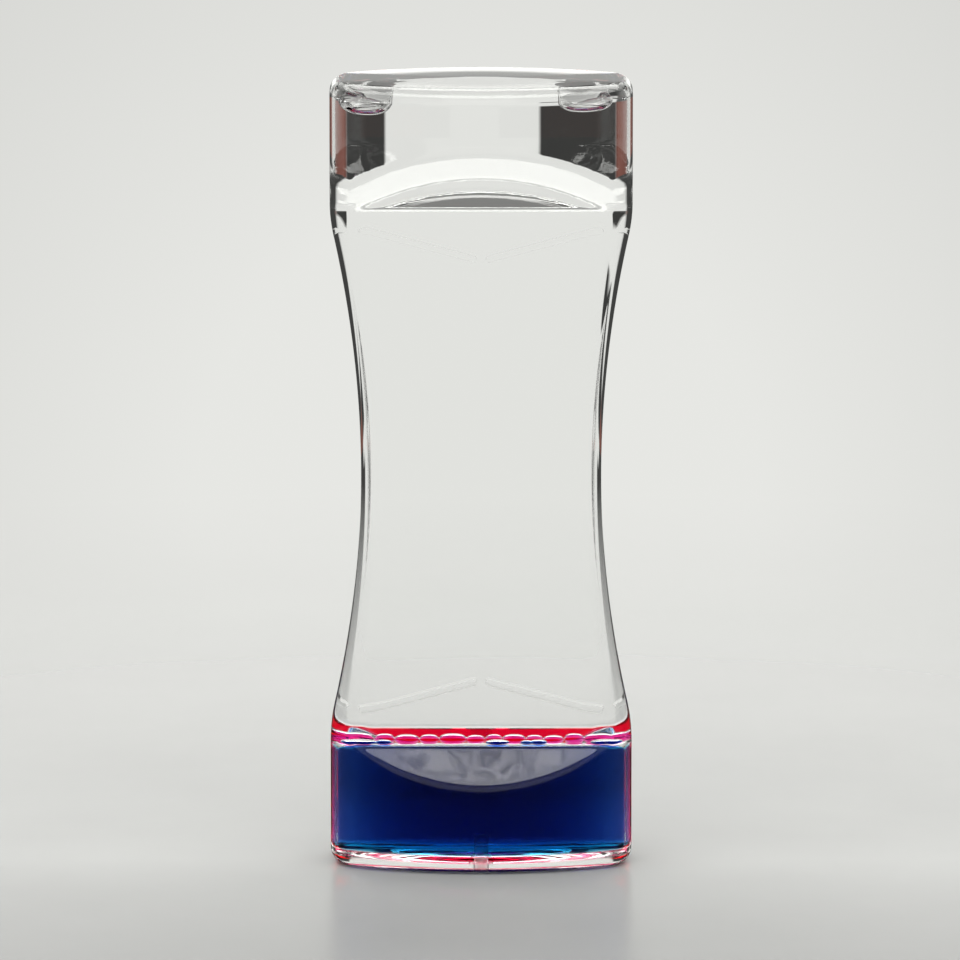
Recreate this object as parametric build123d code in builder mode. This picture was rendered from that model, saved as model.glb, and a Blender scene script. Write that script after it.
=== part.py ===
from build123d import *
import math
import os

os.makedirs("parts", exist_ok=True)

# Casing seen from the front: two full-width ends and a curved waist
height = 137.0
end_width = 52.0
waist_width = 41.3
shoulder_height = 24.2
shoulder_blend = 10.0

# Casing seen from above: bowed front and back, rounded side corners
end_depth = 27.0
bow_radius = 52.0
corner_radius = 3.5
rim_radius = 2.6

# Flat panels that make the middle thinner than the ends; the rear one lies deeper
front_panel_setback = 8.8
front_panel_start = 21.5
front_ramp_rise = 6.2
rear_panel_setback = 6.9
rear_panel_start = 23.0
rear_ramp_rise = 8.8

# Walls, and the clear divider that keeps the two compartments apart
wall = 2.2
base_thickness = 2.7
top_thickness = 3.0
divider_thickness = 1.5
divider_land = 1.1
divider_end_land = 1.6
divider_play = 0.15

# Funnel bars moulded inside the rear compartment, a pair at each end
bar_thickness = 1.0
bar_end_gap = 3.8
bar_inner_x = 1.3
bar_over_pool = 6.1
bar_rise = 5.0
bar_root = 0.6

# Filling plugs in the base, one for each compartment
plug_diameter = 2.3
plug_head_diameter = 3.6
plug_head_thickness = 0.8
plug_recess = 0.3
plug_play = 0.1
plug_rise = 1.2

# Coloured pools; a thin film of oil lies between them and the curved walls
film = 0.1
blue_under_panel = 0.5
red_under_panel = 2.7

# Drops that lie on the pools, and the air left under the top; shares are of the room there
drop_gap = 0.25
drop_end_gap = 0.6
pink_drop_shares = (0.95, 0.75)
pink_drop_half_height = 0.9
blue_drop_share = 0.5
blue_drop_half_height = 0.7
blue_drop_places = (-0.87, -0.71, 0.11, 0.31, 0.87)
bubble_half_width = 4.4
bubble_depth_share = 0.8
bubble_drop = 1.7
bubble_end_gap = 1.8
stray_radius = 0.5
stray_depths = (9.4, 11.0)
stray_gap = 0.25

half_height = height / 2
half_divider = divider_thickness / 2
half_inside = end_width / 2 - wall - film
blue_level = front_panel_start - blue_under_panel
red_level = rear_panel_start - red_under_panel
bar_outer_x = half_inside - bar_end_gap
bar_outer_height = red_level + bar_over_pool
bar_inner_height = bar_outer_height + bar_rise
plug_setback = half_divider + (end_depth / 2 - wall - half_divider) / 2
ceiling = height - top_thickness
overrun = 2.0


def bow_depth(x, inset):
    """Half depth of the bowed plan at x, smaller by inset all round."""
    bow = bow_radius - inset
    return end_depth / 2 - inset - bow + math.sqrt(bow**2 - x**2)


def front_outline(inset, bottom, top):
    """Waisted outline seen from the front, smaller by inset, drawn on the middle plane."""
    half_width = end_width / 2 - inset
    half_waist = waist_width / 2 - inset
    with BuildSketch(Plane.XZ) as outline:
        with BuildLine():
            for sign in (-1, 1):
                Line((sign * half_width, bottom), (sign * half_width, shoulder_height))
                ThreePointArc(
                    (sign * half_width, shoulder_height),
                    (sign * half_waist, half_height),
                    (sign * half_width, height - shoulder_height),
                )
                Line((sign * half_width, height - shoulder_height), (sign * half_width, top))
            for level in (bottom, top):
                Line((-half_width, level), (half_width, level))
        make_face()
        shoulders = outline.vertices().filter_by_position(Axis.Y, bottom + 1, top - 1)
        fillet(shoulders, radius=shoulder_blend)
    return outline.sketch


def waisted_block(inset, bottom, top):
    """Solid in the shape of the casing, smaller by inset all round, between two heights."""
    reach = end_width / 2 - inset + overrun
    half_depth = end_depth / 2 - inset
    side = bow_depth(reach, inset)
    outline = front_outline(inset, -overrun, height + overrun)
    with BuildPart() as block:
        with BuildSketch(Plane.XY.offset(bottom)):
            with BuildLine():
                for sign in (-1, 1):
                    ThreePointArc(
                        (-reach, sign * side), (0, sign * half_depth), (reach, sign * side)
                    )
                    Line((sign * reach, -side), (sign * reach, side))
            make_face()
        extrude(amount=top - bottom)
        extrude(outline.moved(Pos(0, end_depth, 0)), amount=2 * end_depth, mode=Mode.INTERSECT)
        upright = block.edges().filter_by(lambda edge: edge.bounding_box().size.Z > 0.1)
        fillet(upright, radius=corner_radius)
        with BuildSketch(Plane.YZ):
            for sign, setback, start, rise in (
                (-1, front_panel_setback, front_panel_start, front_ramp_rise),
                (1, rear_panel_setback, rear_panel_start, rear_ramp_rise),
            ):
                run = end_depth / 2 - setback
                panel = sign * (setback - inset)
                beyond = panel + sign * 2 * run
                ramp_top = start - inset * math.tan(math.atan2(run, rise) / 2)
                with BuildLine():
                    Polyline(
                        (panel, ramp_top),
                        (beyond, ramp_top - 2 * rise),
                        (beyond, height - ramp_top + 2 * rise),
                        (panel, height - ramp_top),
                        close=True,
                    )
                make_face()
        extrude(amount=end_width, both=True, mode=Mode.SUBTRACT)
    return block.part


def funnel_bars(swell):
    """Both pairs of sloping bars, drawn on the front side and as deep as the rear compartment."""
    reach = bar_outer_x - bar_inner_x
    rise = bar_inner_height - bar_outer_height
    slope = math.degrees(math.atan2(rise, reach))
    middle_x = (bar_outer_x + bar_inner_x) / 2
    middle_height = (bar_outer_height + bar_inner_height) / 2
    with BuildPart() as bars:
        with BuildSketch(Plane.XZ.offset(half_divider)):
            for side in (-1, 1):
                with Locations((side * middle_x, middle_height)):
                    SlotCenterToCenter(
                        math.hypot(reach, rise), bar_thickness + 2 * swell, rotation=-side * slope
                    )
                with Locations((side * middle_x, height - middle_height)):
                    SlotCenterToCenter(
                        math.hypot(reach, rise), bar_thickness + 2 * swell, rotation=side * slope
                    )
        extrude(amount=rear_panel_setback - wall - half_divider + bar_root)
    return bars.part


def plug_hole(swell):
    """Stepped hole for the front filling plug, from below the base into the compartment."""
    head_top = plug_recess + plug_head_thickness
    with BuildPart() as hole:
        with Locations((0, -plug_setback, 0)):
            Cylinder(
                plug_diameter / 2 + swell,
                base_thickness + plug_rise + swell,
                align=(Align.CENTER, Align.CENTER, Align.MIN),
            )
            Cylinder(
                plug_head_diameter / 2 + swell,
                head_top,
                align=(Align.CENTER, Align.CENTER, Align.MIN),
            )
    return hole.part


def lens(half_width, half_depth, half_rise):
    """Flattened drop around the origin."""
    with BuildPart() as drop:
        Sphere(1)
        scale(by=(half_width, half_depth, half_rise))
    return drop.part


def front_space(setback):
    """Everything in front of the middle plane, further forward than the setback."""
    with BuildPart() as space:
        with Locations((0, -setback, -overrun)):
            Box(
                2 * end_width,
                2 * end_depth,
                height + 2 * overrun,
                align=(Align.CENTER, Align.MAX, Align.MIN),
            )
    return space.part


def room_beside_divider(panel_setback):
    """Middle and half depth of the room between the divider and a panel."""
    inner = panel_setback - wall
    return (inner + half_divider) / 2, (inner - half_divider) / 2 - film


def pink_drops_row(swell):
    """Row of drops of two sizes lying on the red pool."""
    room_middle, half_room = room_beside_divider(rear_panel_setback)
    large, small = (share * half_room for share in pink_drop_shares)
    pitch = 2 * (large + small + drop_gap)
    pairs = int(2 * (half_inside - drop_end_gap) / pitch)
    level = red_level + film + pink_drop_half_height
    drops = []
    for pair in range(pairs):
        start = pitch * (pair - pairs / 2)
        for radius, shift in ((large, large), (small, 2 * large + drop_gap + small)):
            size = radius + swell
            drop = lens(size, size, pink_drop_half_height + swell)
            drops.append(Pos(start + shift, room_middle, level) * drop)
    return drops


def blue_drops_row(swell):
    """Few small drops lying on the blue pool."""
    room_middle, half_room = room_beside_divider(front_panel_setback)
    level = blue_level + film + blue_drop_half_height
    size = blue_drop_share * half_room + swell
    drop = lens(size, size, blue_drop_half_height + swell)
    return [Pos(share * half_inside, -room_middle, level) * drop for share in blue_drop_places]


def air_bubbles(swell):
    """Flat bubbles pressed against the top of the front compartment, near its ends."""
    place = half_inside - bubble_half_width - bubble_end_gap
    front = bow_depth(place, wall)
    half_depth = bubble_depth_share * (front - half_divider) / 2
    bubble = lens(bubble_half_width + swell, half_depth + swell, bubble_drop + swell)
    middle = (front + half_divider) / 2
    return [Pos(side * place, -middle, ceiling) * bubble for side in (-1, 1)]


def stray_drops_pair(swell):
    """Tiny drops left on the right wall of the upper end."""
    place = half_inside - stray_gap - stray_radius
    setback = half_divider + stray_gap + stray_radius
    size = stray_radius + swell
    drop = lens(size, size, size)
    return [Pos(place, setback, height - depth) * drop for depth in stray_depths]


outer_block = waisted_block(0, 0, height)
cavity_block = waisted_block(wall, base_thickness, ceiling)
blue_block = waisted_block(wall + film, base_thickness, blue_level)
red_block = waisted_block(wall + film, base_thickness, red_level)
front_oil_block = waisted_block(wall + film, blue_level, ceiling)
rear_oil_block = waisted_block(wall + film, red_level, ceiling)
divider_slot = front_outline(
    divider_land - divider_play,
    divider_end_land - divider_play,
    height - divider_end_land + divider_play,
)
plate_outline = front_outline(divider_land, divider_end_land, height - divider_end_land)
bars = funnel_bars(0)
bar_space = funnel_bars(film)
shell_hole = plug_hole(plug_play)
pool_hole = plug_hole(film)
shell_space = front_space(0)
liquid_space = front_space(half_divider)
blue_drop_solids = blue_drops_row(0)
blue_drop_space = blue_drops_row(film)
pink_drop_solids = pink_drops_row(0)
pink_drop_space = pink_drops_row(film)
stray_drop_solids = stray_drops_pair(0)
stray_drop_space = stray_drops_pair(film)
bubble_solids = air_bubbles(0)
bubble_space = air_bubbles(film)

# Casing, made as two half shells welded together on the middle plane
with BuildPart() as casing:
    add(outer_block)
    rims = casing.faces().filter_by(Axis.Z).sort_by(Axis.Z)
    fillet(rims[0].edges() + rims[-1].edges(), radius=rim_radius)
    add(cavity_block, mode=Mode.SUBTRACT)
    extrude(divider_slot, amount=half_divider, both=True, mode=Mode.SUBTRACT)

with BuildPart() as front_shell:
    add(casing.part)
    add(shell_space, mode=Mode.INTERSECT)
    add(shell_hole, mode=Mode.SUBTRACT)
front_shell.part.label = "front_shell"
export_step(front_shell.part, "parts/front_shell.step")

with BuildPart() as rear_shell:
    add(casing.part)
    mirror(shell_space, about=Plane.XZ, mode=Mode.INTERSECT)
    mirror(bars, about=Plane.XZ)
    mirror(shell_hole, about=Plane.XZ, mode=Mode.SUBTRACT)
rear_shell.part.label = "rear_shell"
export_step(rear_shell.part, "parts/rear_shell.step")

with BuildPart() as divider_plate:
    extrude(plate_outline, amount=half_divider, both=True)
divider_plate.part.label = "divider_plate"
export_step(divider_plate.part, "parts/divider_plate.step")

# Plugs, seated with the head against the step of the hole
with BuildPart() as front_fill_plug:
    with Locations((0, -plug_setback, plug_recess)):
        Cylinder(
            plug_head_diameter / 2,
            plug_head_thickness,
            align=(Align.CENTER, Align.CENTER, Align.MIN),
        )
        Cylinder(
            plug_diameter / 2,
            base_thickness + plug_rise - plug_recess,
            align=(Align.CENTER, Align.CENTER, Align.MIN),
        )
front_fill_plug.part.label = "front_fill_plug"
export_step(front_fill_plug.part, "parts/front_fill_plug.step")

with BuildPart() as rear_fill_plug:
    mirror(front_fill_plug.part, about=Plane.XZ)
rear_fill_plug.part.label = "rear_fill_plug"
export_step(rear_fill_plug.part, "parts/rear_fill_plug.step")

# Coloured pools in the lower end
with BuildPart() as blue_liquid:
    add(blue_block)
    add(liquid_space, mode=Mode.INTERSECT)
    add(pool_hole, mode=Mode.SUBTRACT)
blue_liquid.part.label = "blue_liquid"
export_step(blue_liquid.part, "parts/blue_liquid.step")

with BuildPart() as red_liquid:
    add(red_block)
    mirror(liquid_space, about=Plane.XZ, mode=Mode.INTERSECT)
    mirror(pool_hole, about=Plane.XZ, mode=Mode.SUBTRACT)
red_liquid.part.label = "red_liquid"
export_step(red_liquid.part, "parts/red_liquid.step")

# Clear oil that fills the rest of each compartment
with BuildPart() as front_oil:
    add(front_oil_block)
    add(liquid_space, mode=Mode.INTERSECT)
    add(blue_drop_space, mode=Mode.SUBTRACT)
    add(bubble_space, mode=Mode.SUBTRACT)
front_oil.part.label = "front_oil"
export_step(front_oil.part, "parts/front_oil.step")

with BuildPart() as rear_oil:
    add(rear_oil_block)
    mirror(liquid_space, about=Plane.XZ, mode=Mode.INTERSECT)
    mirror(bar_space, about=Plane.XZ, mode=Mode.SUBTRACT)
    add(pink_drop_space, mode=Mode.SUBTRACT)
    add(stray_drop_space, mode=Mode.SUBTRACT)
rear_oil.part.label = "rear_oil"
export_step(rear_oil.part, "parts/rear_oil.step")

# Drops that have not joined the pools
with BuildPart() as blue_drops:
    add(blue_drop_solids)
blue_drops.part.label = "blue_drops"
export_step(blue_drops.part, "parts/blue_drops.step")

with BuildPart() as pink_drops:
    add(pink_drop_solids)
pink_drops.part.label = "pink_drops"
export_step(pink_drops.part, "parts/pink_drops.step")

with BuildPart() as stray_drops:
    add(stray_drop_solids)
stray_drops.part.label = "stray_drops"
export_step(stray_drops.part, "parts/stray_drops.step")

# Air left in when the casing was filled
with BuildPart() as trapped_air:
    add(bubble_solids)
    split(bisect_by=Plane.XY.offset(ceiling), keep=Keep.BOTTOM)
trapped_air.part.label = "trapped_air"
export_step(trapped_air.part, "parts/trapped_air.step")
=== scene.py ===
import bpy
import math
import numpy as np
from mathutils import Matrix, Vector


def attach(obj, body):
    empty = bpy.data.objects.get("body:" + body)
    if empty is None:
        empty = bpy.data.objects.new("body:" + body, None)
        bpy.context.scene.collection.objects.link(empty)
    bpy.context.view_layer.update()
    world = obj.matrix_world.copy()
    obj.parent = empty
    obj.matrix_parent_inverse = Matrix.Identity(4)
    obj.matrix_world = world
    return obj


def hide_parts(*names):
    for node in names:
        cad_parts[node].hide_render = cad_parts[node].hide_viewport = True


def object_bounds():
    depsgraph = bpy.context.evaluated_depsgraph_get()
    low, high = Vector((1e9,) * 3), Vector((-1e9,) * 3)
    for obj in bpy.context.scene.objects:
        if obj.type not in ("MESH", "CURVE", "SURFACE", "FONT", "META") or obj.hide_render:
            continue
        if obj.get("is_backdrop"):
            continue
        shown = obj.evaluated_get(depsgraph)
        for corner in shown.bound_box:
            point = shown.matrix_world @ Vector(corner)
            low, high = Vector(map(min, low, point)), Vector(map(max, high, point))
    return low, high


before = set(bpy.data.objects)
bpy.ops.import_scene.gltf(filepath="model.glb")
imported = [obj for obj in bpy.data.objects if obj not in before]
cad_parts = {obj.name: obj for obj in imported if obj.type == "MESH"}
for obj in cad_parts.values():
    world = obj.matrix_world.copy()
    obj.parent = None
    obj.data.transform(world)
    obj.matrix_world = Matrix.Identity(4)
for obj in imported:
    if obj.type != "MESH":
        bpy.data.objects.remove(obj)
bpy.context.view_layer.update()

# Sizes in millimetres, the same as the CAD part
HEIGHT = 137.0
HALF_WIDTH = 26.0
HALF_WAIST = 20.65
SHOULDER = 24.2
HALF_DEPTH = 13.5
BOW = 52.0
CORNER = 3.5
RIM = 2.6
WALL = 2.2
FLOOR = 2.7
CEILING = 134.0
HALF_DIVIDER = 0.75
BLUE_LEVEL = 21.0
RED_LEVEL = 20.3
BAR_OUTER = (19.9, 26.4)
BAR_INNER = (1.3, 31.4)
BAR_HALF = 0.5

# For each side: depth of its flat panel, where the panel starts above the end, and the ramp's height
FRONT_RECESS = (8.8, 21.5, 6.2)
REAR_RECESS = (6.9, 23.0, 8.8)

# Rounded edges: where waist meets shoulder, at the panel, inside the cavity and on top of a pool
SHOULDER_BLEND = 0.7
PANEL_FOOT = 0.3
PANEL_EDGE_AT_END = 0.5
PANEL_EDGE_GAIN = 1.3
PANEL_EDGE_RUN = 12
LEAST_CORNER = 1.0
CAVITY_EDGE = 0.3
POOL_EDGE = 1.3

# Small gaps that keep one surface from lying on another
OIL_GAP = 0.01
POOL_GAP = 0.05
POOL_LIFT = 0.03
BAR_GAP = 0.06
DROP_GAP = 0.06
BUBBLE_GAP = 0.03

# Share of each flat end that lies inside the narrow ring along its rounded rim
FLAT_SHARE = 0.985

# Metres in a millimetre
SCALE = 0.001

# Refractive indices: clear plastic in air, and what lies inside relative to the oil
PLASTIC_IOR = 1.49
PLASTIC_IN_OIL = 1.02
SHEET_IN_OIL = 1.004
PLUG_IN_OIL = 1.12
DYE_IN_OIL = 0.93
AIR_IN_OIL = 0.69

rng = np.random.default_rng(7)


# Shape of the casing, as signed distances


def round_meet(a, b, radius):
    """Intersection of two shapes with a rounded outer edge."""
    inner = np.minimum(-radius, np.maximum(a, b))
    return inner + np.hypot(np.maximum(a + radius, 0), np.maximum(b + radius, 0))


def round_join(a, b, radius):
    """Union of two shapes with a rounded inner edge."""
    outer = np.maximum(radius, np.minimum(a, b))
    return outer - np.hypot(np.maximum(radius - a, 0), np.maximum(radius - b, 0))


def half_width_at(z):
    """Half width of the casing seen from the front."""
    rise = HEIGHT / 2 - SHOULDER
    narrow = HALF_WIDTH - HALF_WAIST
    radius = (rise**2 + narrow**2) / (2 * narrow)
    away = np.minimum(np.abs(z - HEIGHT / 2), radius - 1)
    curve = HALF_WAIST + radius - np.sqrt(radius**2 - away**2)
    blend = np.maximum(SHOULDER_BLEND - np.abs(curve - HALF_WIDTH), 0)
    return np.minimum(curve, HALF_WIDTH) - blend**2 / (4 * SHOULDER_BLEND)


def casing_field(x, y, z, inset, recess):
    """Signed distance to the casing without its ends, moved inwards by inset.

    The edges of the panel are sharp at the ends and rounder towards the waist.
    """
    depth = np.abs(y)
    panel_depth, panel_start, rise = recess
    bow = np.hypot(x, depth + BOW - HALF_DEPTH) - BOW + inset
    side = np.abs(x) - half_width_at(z) + inset
    run = HALF_DEPTH - panel_depth
    length = math.hypot(run, rise)
    from_end = np.minimum(z, HEIGHT - z)
    ramp = ((depth - panel_depth) * rise + (from_end - panel_start) * run) / length + inset
    panel = round_join(depth - panel_depth + inset, ramp, PANEL_FOOT)
    body = round_meet(bow, side, max(CORNER - inset, LEAST_CORNER))
    share = np.clip((from_end - panel_start + 1) / PANEL_EDGE_RUN, 0, 1)
    edge = PANEL_EDGE_AT_END + PANEL_EDGE_GAIN * share**2 * (3 - 2 * share)
    return round_meet(body, panel, edge)


def limited(field, z, low, high, low_radius, high_radius):
    """The same shape between two heights, with rounded rims."""
    field = round_meet(field, low - z, low_radius)
    return round_meet(field, z - high, high_radius)


def ring_angles(fine):
    """Directions over the front half, close together where the sides are rounded."""
    quarter = np.concatenate(
        [
            np.linspace(0, 7, 5 * fine, endpoint=False),
            np.linspace(7, 27, 26 * fine, endpoint=False),
            np.linspace(27, 90, 22 * fine, endpoint=False),
        ]
    )
    quarter = np.radians(quarter)
    return np.concatenate([math.pi + quarter, [1.5 * math.pi], (2 * math.pi - quarter)[::-1]])


def levels_between(low, high, close, step):
    """Heights from low to high: close together at both ends and on the ramps."""
    ease = (1 - np.cos(np.linspace(0, math.pi / 2, 13))) * close
    spots = [low + ease, high - ease]
    for start, stop, gap in ((10, 27, 0.3), (HEIGHT - 27, HEIGHT - 10, 0.3), (0, HEIGHT, step)):
        spots.append(np.arange(start, stop, gap))
    heights = np.unique(np.round(np.concatenate(spots), 4))
    heights = heights[(heights >= low) & (heights <= high)]
    keep = np.concatenate([[True], np.diff(heights) > 0.004])
    return heights[keep]


def front_rings(shape, middle, levels, angles):
    """Points where rays from (0, middle) leave the shape, one row per height."""
    z = levels[:, None] + 0 * angles[None, :]
    toward_x = np.cos(angles)[None, :]
    toward_y = np.sin(angles)[None, :]
    near = np.zeros_like(z)
    far = np.full_like(z, 40.0)
    for _ in range(44):
        reach = (near + far) / 2
        inside = shape(reach * toward_x, middle + reach * toward_y, z) < 0
        near = np.where(inside, reach, near)
        far = np.where(inside, far, reach)
    return np.stack([near * toward_x, middle + near * toward_y, z], axis=-1)


# Meshes


def make_object(name, points, faces, smooth, flip, turned):
    """Mesh object from millimetre points; flip turns the normals, turned puts it at the rear."""
    points = np.array(points, float)
    if turned:
        points = points * (-1, -1, 1)
    if flip:
        faces = [face[::-1] for face in faces]
    mesh = bpy.data.meshes.new(name)
    mesh.from_pydata((points * SCALE).tolist(), [], faces)
    mesh.polygons.foreach_set("use_smooth", smooth)
    mesh.update()
    obj = bpy.data.objects.new(name, mesh)
    bpy.context.scene.collection.objects.link(obj)
    return obj


def body_from_rings(rings, closed):
    """Points and faces of a half body; closed adds the flat face on the middle side."""
    rows, columns, _ = rings.shape
    points = rings.reshape(-1, 3).tolist()
    faces = []
    smooth = []
    for row in range(rows - 1):
        for column in range(columns - 1):
            corner = row * columns + column
            faces.append((corner, corner + 1, corner + columns + 1, corner + columns))
            smooth.append(True)
    for row, order in ((0, -1), (rows - 1, 1)):
        middle = np.array([0.0, rings[row, 0, 1], rings[row, 0, 2]])
        start = len(points)
        points += (middle + (rings[row] - middle) * FLAT_SHARE).tolist()
        points.append(middle.tolist())
        for column in range(columns - 1):
            corner = row * columns + column
            inner = start + column
            faces.append((corner, corner + 1, inner + 1, inner)[::order])
            faces.append((inner, inner + 1, start + columns)[::order])
            smooth += [True, True]
    if closed:
        start = len(points)
        for row in range(rows):
            points.append(rings[row, 0].tolist())
            points.append(rings[row, -1].tolist())
        for row in range(rows - 1):
            left = start + 2 * row
            faces.append((left, left + 2, left + 3, left + 1))
            smooth.append(True)
    return points, faces, smooth


def drop_points(centre, half_sizes, squareness, ceiling=None):
    """Points and faces of one slightly uneven, flattened drop."""
    around = 28
    up = 18
    wobble = rng.uniform(0, 2 * math.pi, 4)
    points = []
    for row in range(up + 1):
        tilt = math.pi * row / up
        for column in range(around):
            turn = 2 * math.pi * column / around
            uneven = 1 + 0.02 * math.sin(2 * turn + wobble[0]) + 0.015 * math.sin(3 * turn + wobble[1])
            flat = math.sin(tilt) ** squareness
            x = centre[0] + half_sizes[0] * flat * math.cos(turn) * uneven
            y = centre[1] + half_sizes[1] * flat * math.sin(turn) * uneven
            z = centre[2] - half_sizes[2] * math.cos(tilt)
            if ceiling is not None:
                z = min(z, ceiling)
            points.append((x, y, z))
    faces = []
    for row in range(up):
        for column in range(around):
            here = row * around + column
            beside = row * around + (column + 1) % around
            faces.append((here, beside, beside + around, here + around))
    return points, faces


def drops_object(name, specs, ceiling=None):
    """One object made of several drops; each spec is centre, half sizes and squareness."""
    points = []
    faces = []
    for centre, half_sizes, squareness in specs:
        more, quads = drop_points(centre, half_sizes, squareness, ceiling)
        start = len(points)
        points += more
        faces += [tuple(corner + start for corner in quad) for quad in quads]
    return make_object(name, points, faces, [True] * len(faces), False, False)


def bar_points(outer, inner, near, far, half_thickness):
    """Points and faces of one funnel bar with rounded ends, between two depths."""
    outer = np.array(outer)
    inner = np.array(inner)
    along = math.atan2(inner[1] - outer[1], inner[0] - outer[0])
    rim = []
    for end, start in ((inner, -math.pi / 2), (outer, math.pi / 2)):
        for step in range(13):
            turn = along + start + math.pi * step / 12
            rim.append(end + half_thickness * np.array([math.cos(turn), math.sin(turn)]))
    count = len(rim)
    points = [(p[0], near, p[1]) for p in rim] + [(p[0], far, p[1]) for p in rim]
    faces = []
    smooth = []
    for step in range(count):
        beside = (step + 1) % count
        faces.append((step, beside, beside + count, step + count))
        smooth.append(True)
    faces.append(tuple(range(count))[::-1])
    faces.append(tuple(range(count, 2 * count)))
    smooth += [False, False]
    return points, faces, smooth


# Materials


def new_material(name):
    """Empty material with its node tree and output."""
    material = bpy.data.materials.new(name)
    material.use_nodes = True
    tree = material.node_tree
    tree.nodes.clear()
    output = tree.nodes.new("ShaderNodeOutputMaterial")
    return material, tree, output


def noise(tree, scale, detail):
    """Noise in object space."""
    place = tree.nodes.new("ShaderNodeTexCoord")
    texture = tree.nodes.new("ShaderNodeTexNoise")
    texture.inputs["Scale"].default_value = scale
    texture.inputs["Detail"].default_value = detail
    tree.links.new(place.outputs["Object"], texture.inputs["Vector"])
    return texture.outputs["Fac"]


def spread(tree, source, low, high, to_low, to_high):
    """Maps one range of numbers to another."""
    node = tree.nodes.new("ShaderNodeMapRange")
    for key, value in (
        ("From Min", low),
        ("From Max", high),
        ("To Min", to_low),
        ("To Max", to_high),
    ):
        node.inputs[key].default_value = value
    tree.links.new(source, node.inputs["Value"])
    return node.outputs["Result"]


def bumped(tree, source, strength, distance):
    """Normal of a slightly uneven surface."""
    node = tree.nodes.new("ShaderNodeBump")
    node.inputs["Strength"].default_value = strength
    node.inputs["Distance"].default_value = distance
    tree.links.new(source, node.inputs["Height"])
    return node.outputs["Normal"]


def clear_material(name, ior, colour, rough, smudge):
    """Clear moulded plastic: a little uneven, with faint smudges."""
    material, tree, output = new_material(name)
    shader = tree.nodes.new("ShaderNodeBsdfPrincipled")
    shader.inputs["Base Color"].default_value = colour
    shader.inputs["Transmission Weight"].default_value = 1.0
    shader.inputs["IOR"].default_value = ior
    marks = spread(tree, noise(tree, 220, 6), 0.5, 0.75, rough, smudge)
    tree.links.new(marks, shader.inputs["Roughness"])
    waves = bumped(tree, noise(tree, 60, 2), 0.03, 0.0004)
    tree.links.new(waves, shader.inputs["Normal"])
    tree.links.new(shader.outputs["BSDF"], output.inputs["Surface"])
    return material


def dye_material(name, tint, density, ior):
    """Dyed liquid that gets deeper in colour with its thickness."""
    material, tree, output = new_material(name)
    surface = tree.nodes.new("ShaderNodeBsdfGlass")
    surface.inputs["Color"].default_value = (1, 1, 1, 1)
    surface.inputs["Roughness"].default_value = 0.0
    surface.inputs["IOR"].default_value = ior
    ripples = bumped(tree, noise(tree, 90, 2), 0.04, 0.0005)
    tree.links.new(ripples, surface.inputs["Normal"])
    tree.links.new(surface.outputs["BSDF"], output.inputs["Surface"])
    if density:
        inside = tree.nodes.new("ShaderNodeVolumeAbsorption")
        inside.inputs["Color"].default_value = tint
        inside.inputs["Density"].default_value = density
        tree.links.new(inside.outputs["Volume"], output.inputs["Volume"])
    return material


clear_outside = clear_material("clear_plastic", PLASTIC_IOR, (0.985, 0.99, 0.985, 1), 0.0, 0.012)
clear_inside = clear_material("plastic_in_oil", PLASTIC_IN_OIL, (1, 1, 1, 1), 0.0, 0.004)
clear_plate = clear_material("clear_sheet", SHEET_IN_OIL, (1, 1, 1, 1), 0.0, 0.003)
plug_clear = clear_material("plug", PLUG_IN_OIL, (0.9, 0.79, 0.8, 1), 0.3, 0.4)
blue_dye = dye_material("blue_dye", (0.0, 0.75, 0.915, 1), 950.0, DYE_IN_OIL)
red_dye = dye_material("red_dye", (0.99, 0.1, 0.5, 1), 420.0, DYE_IN_OIL)
blue_drop_dye = dye_material("blue_drop_dye", (0.04, 0.55, 0.88, 1), 4000.0, DYE_IN_OIL)
pink_dye = dye_material("pink_dye", (0.99, 0.1, 0.72, 1), 1500.0, DYE_IN_OIL)
air_glass = dye_material("air", (1, 1, 1, 1), 0.0, AIR_IN_OIL)


def finished(obj, material, slot, *nodes):
    """Gives a piece its material and its place in the frame."""
    obj.data.materials.append(material)
    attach(obj, "root")
    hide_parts(*nodes)
    return obj


# Casing and oil


def shell_rings(recess):
    """Rings of the outer surface of one half of the casing."""

    def shape(x, y, z):
        return limited(casing_field(x, y, z, 0, recess), z, 0, HEIGHT, RIM, RIM)

    return front_rings(shape, 0, levels_between(0, HEIGHT, RIM, 1.0), ring_angles(2))


def oil_rings(recess):
    """Rings of the inside of one compartment."""

    def shape(x, y, z):
        field = casing_field(x, y, z, WALL, recess)
        return limited(field, z, FLOOR, CEILING, CAVITY_EDGE, CAVITY_EDGE)

    levels = levels_between(FLOOR, CEILING, 0.8, 1.5)
    return front_rings(shape, -HALF_DIVIDER - OIL_GAP, levels, ring_angles(1))


def pool_rings(recess, level):
    """Rings of a pool up to a level, with a rounded upper edge."""
    low = FLOOR + POOL_LIFT

    def shape(x, y, z):
        field = casing_field(x, y, z, WALL + POOL_GAP, recess)
        return limited(field, z, low, level, CAVITY_EDGE, POOL_EDGE)

    levels = levels_between(low, level, POOL_EDGE, 0.8)
    return front_rings(shape, -HALF_DIVIDER - POOL_GAP, levels, ring_angles(1))


def funnel_bars(recess):
    """Points and faces of the two pairs of funnel bars, turned inside out like the oil."""
    points = []
    faces = []
    smooth = []
    near = -recess[0] + WALL + POOL_GAP
    far = -HALF_DIVIDER - BAR_GAP
    for sign in (-1, 1):
        for upper in (False, True):
            ends = []
            for across, height in (BAR_OUTER, BAR_INNER):
                ends.append((sign * across, HEIGHT - height if upper else height))
            more, quads, round_faces = bar_points(*ends, near, far, BAR_HALF)
            start = len(points)
            points += more
            faces += [tuple(corner + start for corner in quad)[::-1] for quad in quads]
            smooth += round_faces
    return points, faces, smooth


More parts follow.
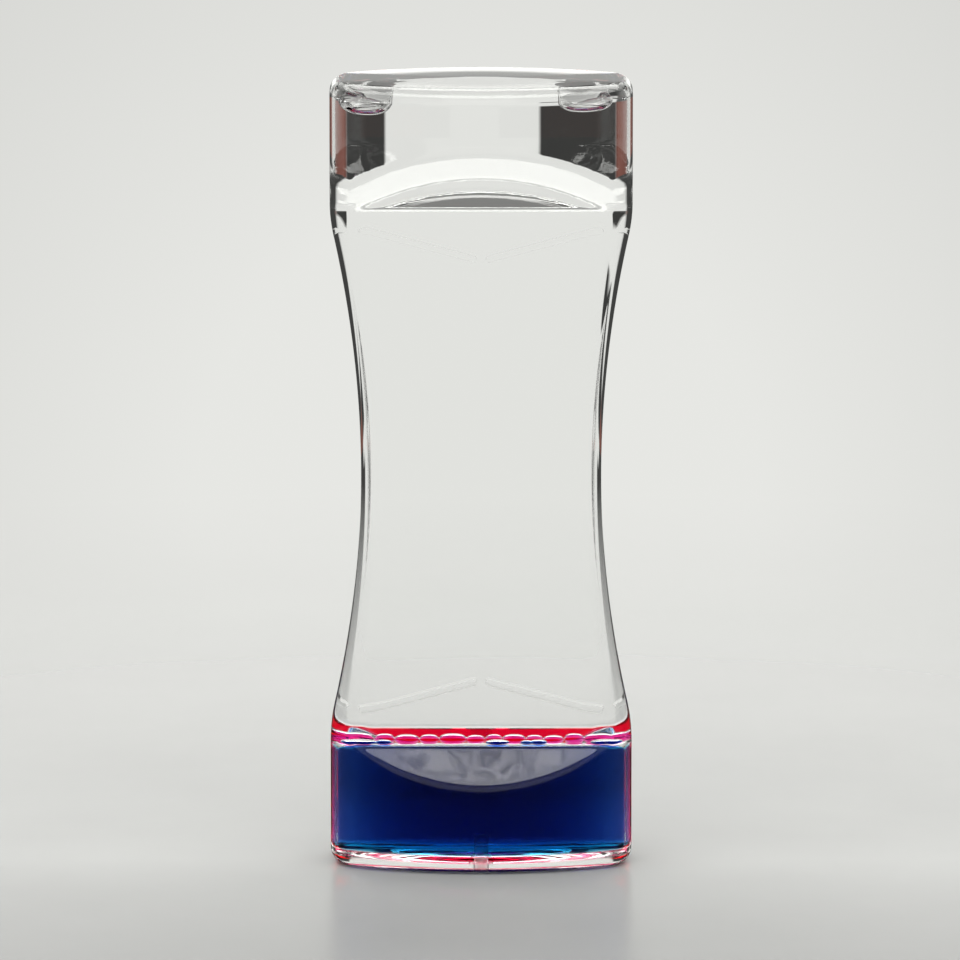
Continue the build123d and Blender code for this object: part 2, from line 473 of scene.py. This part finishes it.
for side, recess, turned in (("front", FRONT_RECESS, False), ("rear", REAR_RECESS, True)):
    points, faces, smooth = body_from_rings(shell_rings(recess), False)
    shell = make_object(side + "_casing", points, faces, smooth, False, turned)
    finished(shell, clear_outside, "clear_casing", side + "_shell")

    points, faces, smooth = body_from_rings(oil_rings(recess), True)
    if side == "rear":
        bars, bar_faces, bar_smooth = funnel_bars(recess)
        start = len(points)
        points += bars
        faces += [tuple(corner + start for corner in face) for face in bar_faces]
        smooth += bar_smooth
    oil = make_object(side + "_oil_body", points, faces, smooth, True, turned)
    finished(oil, clear_inside, "clear_oil", side + "_oil")

for name, recess, level, dye, slot, turned in (
    ("blue_liquid", FRONT_RECESS, BLUE_LEVEL, blue_dye, "blue_dye", False),
    ("red_liquid", REAR_RECESS, RED_LEVEL, red_dye, "red_dye", True),
):
    points, faces, smooth = body_from_rings(pool_rings(recess, level), True)
    pool = make_object(name + "_pool", points, faces, smooth, False, turned)
    finished(pool, dye, slot, name)

# Drops on the pools and air under the top
PINK_START = -22.6
PINK_STOP = 21.0
DROP_DEPTH_SHARE = 0.8
BLUE_DROP_DEPTH = -3.0
STRAY_PLACE = (23.1, 3.0)
BUBBLE_MIDDLE = CEILING - 0.02

pink_specs = []
edge = PINK_START
while edge < PINK_STOP:
    radius = rng.uniform(1.5, 2.4)
    high = rng.uniform(0.75, 0.95)
    depth = rng.uniform(2.7, 3.1)
    centre = (edge + radius, depth, RED_LEVEL + DROP_GAP + high)
    pink_specs.append((centre, (radius, radius * DROP_DEPTH_SHARE, high), 0.75))
    edge += 2 * radius - rng.uniform(0.0, 0.15)

blue_specs = []
for across, radius, high in (
    (-20.4, 2.5, 0.45),
    (-16.9, 1.5, 0.45),
    (2.8, 2.1, 0.45),
    (7.9, 1.1, 0.4),
    (9.9, 1.5, 0.45),
    (20.9, 2.1, 0.45),
):
    centre = (across, BLUE_DROP_DEPTH, BLUE_LEVEL + DROP_GAP + high)
    blue_specs.append((centre, (radius, radius * DROP_DEPTH_SHARE, high), 0.8))

stray_specs = [
    ((*STRAY_PLACE, 126.0), (0.5, 0.5, 0.75), 1.0),
    ((*STRAY_PLACE, 127.6), (0.42, 0.42, 0.5), 1.0),
]
bubble_specs = [
    ((-19.0, -4.0, BUBBLE_MIDDLE), (4.4, 2.9, 2.5), 0.7),
    ((17.1, -4.2, BUBBLE_MIDDLE), (4.6, 3.0, 1.9), 0.7),
]
finished(drops_object("pink_beads", pink_specs), pink_dye, "pink_dye", "pink_drops")
finished(drops_object("blue_beads", blue_specs), blue_drop_dye, "blue_dye", "blue_drops")
finished(drops_object("stray_beads", stray_specs), pink_dye, "pink_dye", "stray_drops")
bubbles = drops_object("air_bubbles", bubble_specs, CEILING - BUBBLE_GAP)
finished(bubbles, air_glass, "air", "trapped_air")

for node, material in (
    ("divider_plate", clear_plate),
    ("front_fill_plug", plug_clear),
    ("rear_fill_plug", plug_clear),
):
    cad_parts[node].data.materials.clear()
    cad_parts[node].data.materials.append(material)

# Pale floor that fades into the background, in metres
FLOOR_REACH = 0.34
FLOOR_DROP = 0.0002
FLOOR_CORNERS = 96


def arithmetic(tree, operation, first, second=0.0):
    """One step of arithmetic on sockets or numbers."""
    node = tree.nodes.new("ShaderNodeMath")
    node.operation = operation
    for socket, value in zip(node.inputs, (first, second)):
        if isinstance(value, (int, float)):
            socket.default_value = value
        else:
            tree.links.new(value, socket)
    return node.outputs[0]


def mirror_rays(tree, rays):
    """One for rays that come from a mirror reflection, and none for rays through clear pieces."""
    left = arithmetic(
        tree, "SUBTRACT", rays.outputs["Is Glossy Ray"], rays.outputs["Is Transmission Ray"]
    )
    return arithmetic(tree, "MAXIMUM", left, 0.0)


def blended(tree, factor, first, second):
    """Mixes two shaders."""
    node = tree.nodes.new("ShaderNodeMixShader")
    tree.links.new(factor, node.inputs["Fac"])
    tree.links.new(first, node.inputs[1])
    tree.links.new(second, node.inputs[2])
    return node.outputs["Shader"]


def mixed_number(tree, factor, first, second):
    """Mixes two numbers."""
    node = tree.nodes.new("ShaderNodeMix")
    node.data_type = "FLOAT"
    tree.links.new(factor, node.inputs["Factor"])
    for key, value in (("A", first), ("B", second)):
        if isinstance(value, (int, float)):
            node.inputs[key].default_value = value
        else:
            tree.links.new(value, node.inputs[key])
    return node.outputs["Result"]


def floor_material():
    """Pale paper: painted shade towards the front, a painted glow by the base that the camera doesn't
    see directly, and painted shade in mirror reflections.
    """
    material, tree, output = new_material("pale_floor")
    paint = tree.nodes.new("ShaderNodeBsdfPrincipled")
    paint.inputs["Roughness"].default_value = 0.25
    paint.inputs["Specular IOR Level"].default_value = 0.1
    place = tree.nodes.new("ShaderNodeTexCoord").outputs["Object"]
    parts = tree.nodes.new("ShaderNodeSeparateXYZ")
    tree.links.new(place, parts.inputs[0])
    away = tree.nodes.new("ShaderNodeVectorMath")
    away.operation = "LENGTH"
    tree.links.new(place, away.inputs[0])
    distance = away.outputs["Value"]
    rays = tree.nodes.new("ShaderNodeLightPath")

    paper = spread(tree, noise(tree, 18, 4), 0.3, 0.7, 0.4, 0.43)
    # Painted shade: the paper gets darker towards the front, where less light falls on it.
    tone = arithmetic(tree, "MULTIPLY", paper, spread(tree, parts.outputs["Y"], -0.08, 0.0, 0.67, 1.0))
    grey = tree.nodes.new("ShaderNodeCombineColor")
    for channel in ("Red", "Green", "Blue"):
        tree.links.new(tone, grey.inputs[channel])
    tree.links.new(grey.outputs["Color"], paint.inputs["Base Color"])

    # Painted glow: near the base the floor gives off light, which the camera doesn't see directly but
    # the clear pieces and other surfaces do.
    painted_glow_by_base = spread(tree, distance, 0.02, 0.06, 0.7, 0.0)
    glow = mixed_number(tree, rays.outputs["Is Camera Ray"], painted_glow_by_base, 0.0)
    paint.inputs["Emission Color"].default_value = (1, 1, 0.98, 1)
    tree.links.new(glow, paint.inputs["Emission Strength"])

    # Painted shade in mirror reflections: the floor shows almost black where the clear pieces reflect
    # it.
    painted_mirror_shade = tree.nodes.new("ShaderNodeBsdfDiffuse")
    painted_mirror_shade.inputs["Color"].default_value = (0.015, 0.015, 0.015, 1)
    clear = tree.nodes.new("ShaderNodeBsdfTransparent")
    surface = blended(tree, mirror_rays(tree, rays), paint.outputs["BSDF"], painted_mirror_shade.outputs["BSDF"])
    shown = spread(tree, distance, 0.05, FLOOR_REACH * 0.97, 1.0, 0.0)
    faded = blended(tree, shown, clear.outputs["BSDF"], surface)
    tree.links.new(faded, output.inputs["Surface"])
    return material


turns = np.linspace(0, 2 * math.pi, FLOOR_CORNERS + 1)[:-1]
outline = [(FLOOR_REACH * math.cos(turn), FLOOR_REACH * math.sin(turn), 0) for turn in turns]
floor_mesh = bpy.data.meshes.new("floor")
floor_mesh.from_pydata(outline, [], [tuple(range(FLOOR_CORNERS))])
floor_mesh.materials.append(floor_material())
floor = bpy.data.objects.new("floor", floor_mesh)
floor.location.z = -FLOOR_DROP
bpy.context.scene.collection.objects.link(floor)
floor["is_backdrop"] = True

# Studio: pale to the camera, with dark cards at the sides that show in the clear pieces.
# Turns are in degrees from straight behind or in front, heights are the upward part of a direction.
ELEVATION = math.radians(11.0)
LEFT_FLAG = (-36, -30, -9.9, -9.3)
RIGHT_FLAG = (16.6, 17.2, 30, 36)
SIDE_CARD = (30, 34, 72, 80)
LOW_CARD = (18, 22, 72, 80)
FLAG_HEIGHT = (-0.1755, -0.1725, -0.158, -0.15)
LOW_CARD_TOP = (-0.187, -0.181)
SOFTBOX_HEIGHT = (0.68, 0.72, 0.91, 0.93)
SOFTBOX_STRENGTH = 4.5
STRIP_STRENGTH = 0.19
PAPER_COLOUR = (0.995, 1.0, 0.965, 1)
STRIP_COLOUR = (0.9, 0.36, 0.28, 1)


def window(tree, source, limits):
    """One between the two middle limits, falling to none at the outer ones."""
    first, second, third, fourth = limits
    rise = spread(tree, source, first, second, 0.0, 1.0)
    return arithmetic(tree, "MULTIPLY", rise, spread(tree, source, third, fourth, 1.0, 0.0))


def softbox_light(tree, direction, along, up):
    """Overhead softbox in two halves, its brightness a little cloudy, which paints patchy reflections
    on the clear pieces.
    """
    halves = spread(tree, arithmetic(tree, "ABSOLUTE", along), 0.05, 0.12, 0.0, SOFTBOX_STRENGTH)
    clouds = tree.nodes.new("ShaderNodeTexNoise")
    clouds.inputs["Scale"].default_value = 1000.0
    clouds.inputs["Detail"].default_value = 6.0
    clouds.inputs["Roughness"].default_value = 0.62
    tree.links.new(direction, clouds.inputs["Vector"])
    even = arithmetic(tree, "MULTIPLY", window(tree, up, SOFTBOX_HEIGHT), halves)
    return arithmetic(tree, "MULTIPLY", even, spread(tree, clouds.outputs["Fac"], 0.4, 0.6, 0.6, 1.4))


def studio_world():
    """Light from all round as the camera, mirror reflections and clear pieces see it."""
    world = bpy.data.worlds.new("studio")
    world.use_nodes = True
    tree = world.node_tree
    tree.nodes.clear()
    output = tree.nodes.new("ShaderNodeOutputWorld")
    rays = tree.nodes.new("ShaderNodeLightPath")
    direction = tree.nodes.new("ShaderNodeTexCoord").outputs["Generated"]
    split = tree.nodes.new("ShaderNodeSeparateXYZ")
    tree.links.new(direction, split.inputs[0])
    across, along, up = split.outputs

    turn = arithmetic(tree, "ARCTAN2", across, arithmetic(tree, "ABSOLUTE", along))
    aside = arithmetic(tree, "ABSOLUTE", turn)
    left_flag = window(tree, turn, np.radians(LEFT_FLAG))
    right_flag = window(tree, turn, np.radians(RIGHT_FLAG))
    level = window(tree, up, FLAG_HEIGHT)
    flags = arithmetic(tree, "MULTIPLY", arithmetic(tree, "ADD", left_flag, right_flag), level)
    side_card = window(tree, aside, np.radians(SIDE_CARD))
    below = spread(tree, up, *LOW_CARD_TOP, 1.0, 0.0)
    low_card = arithmetic(tree, "MULTIPLY", window(tree, aside, np.radians(LOW_CARD)), below)
    cards = arithmetic(tree, "MAXIMUM", side_card, low_card)
    strips = arithmetic(tree, "MULTIPLY", side_card, level)

    strip_light = arithmetic(tree, "MULTIPLY", strips, STRIP_STRENGTH)
    open_light = arithmetic(tree, "ADD", spread(tree, cards, 0.0, 1.0, 0.8, 0.05), strip_light)
    flagged = arithmetic(tree, "MULTIPLY", open_light, spread(tree, flags, 0.0, 1.0, 1.0, 0.056))
    dome = arithmetic(tree, "MULTIPLY", flagged, spread(tree, up, 0.4, 0.65, 1.0, 0.3))
    softbox = softbox_light(tree, direction, along, up)
    plain = arithmetic(tree, "ADD", dome, softbox)

    ahead = spread(tree, along, 0.3, 0.6, 0.0, 1.0)
    rim_light = arithmetic(tree, "MULTIPLY", spread(tree, up, 0.02, 0.06, 1.0, 0.0), ahead)
    above_floor = spread(tree, up, -0.12, -0.04, 0.05, 1.0)
    rimmed = arithmetic(tree, "MULTIPLY", arithmetic(tree, "ADD", dome, rim_light), above_floor)
    shine = arithmetic(tree, "ADD", rimmed, softbox)

    # Painted light on the backdrop the camera sees: brighter around the middle of the view, darker
    # towards its edges.
    from_middle = arithmetic(tree, "ADD", up, math.sin(ELEVATION))
    squares = [arithmetic(tree, "POWER", value, 2.0) for value in (across, from_middle)]
    spot = arithmetic(tree, "SQRT", arithmetic(tree, "ADD", *squares))
    backdrop = spread(tree, spot, 0.02, 0.048, 0.8, 0.7)

    lit = mixed_number(tree, mirror_rays(tree, rays), plain, shine)
    seen = mixed_number(tree, rays.outputs["Is Camera Ray"], lit, backdrop)
    colour = tree.nodes.new("ShaderNodeMix")
    colour.data_type = "RGBA"
    warm = arithmetic(tree, "MULTIPLY", strips, rays.outputs["Is Transmission Ray"])
    tree.links.new(warm, colour.inputs["Factor"])
    colour.inputs[6].default_value = PAPER_COLOUR
    colour.inputs[7].default_value = STRIP_COLOUR
    background = tree.nodes.new("ShaderNodeBackground")
    tree.links.new(colour.outputs[2], background.inputs["Color"])
    tree.links.new(seen, background.inputs["Strength"])
    tree.links.new(background.outputs["Background"], output.inputs["Surface"])
    return world


scene = bpy.context.scene
scene.world = studio_world()

# Camera: far away, a little above the object, in metres
DISTANCE = 2.4
TARGET = Vector((-0.0002, 0, 0.0667))
lens = bpy.data.cameras.new("camera")
lens.lens = 522.0
lens.sensor_width = 36.0
lens.clip_end = 50.0
camera = bpy.data.objects.new("camera", lens)
camera.location = TARGET + DISTANCE * Vector((0, -math.cos(ELEVATION), math.sin(ELEVATION)))
camera.rotation_euler = (math.pi / 2 - ELEVATION, 0, 0)
scene.collection.objects.link(camera)
scene.camera = camera

scene.view_settings.view_transform = "Standard"
scene.cycles.max_bounces = 32
scene.cycles.transmission_bounces = 32
scene.cycles.transparent_max_bounces = 24
scene.cycles.glossy_bounces = 12

low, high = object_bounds()
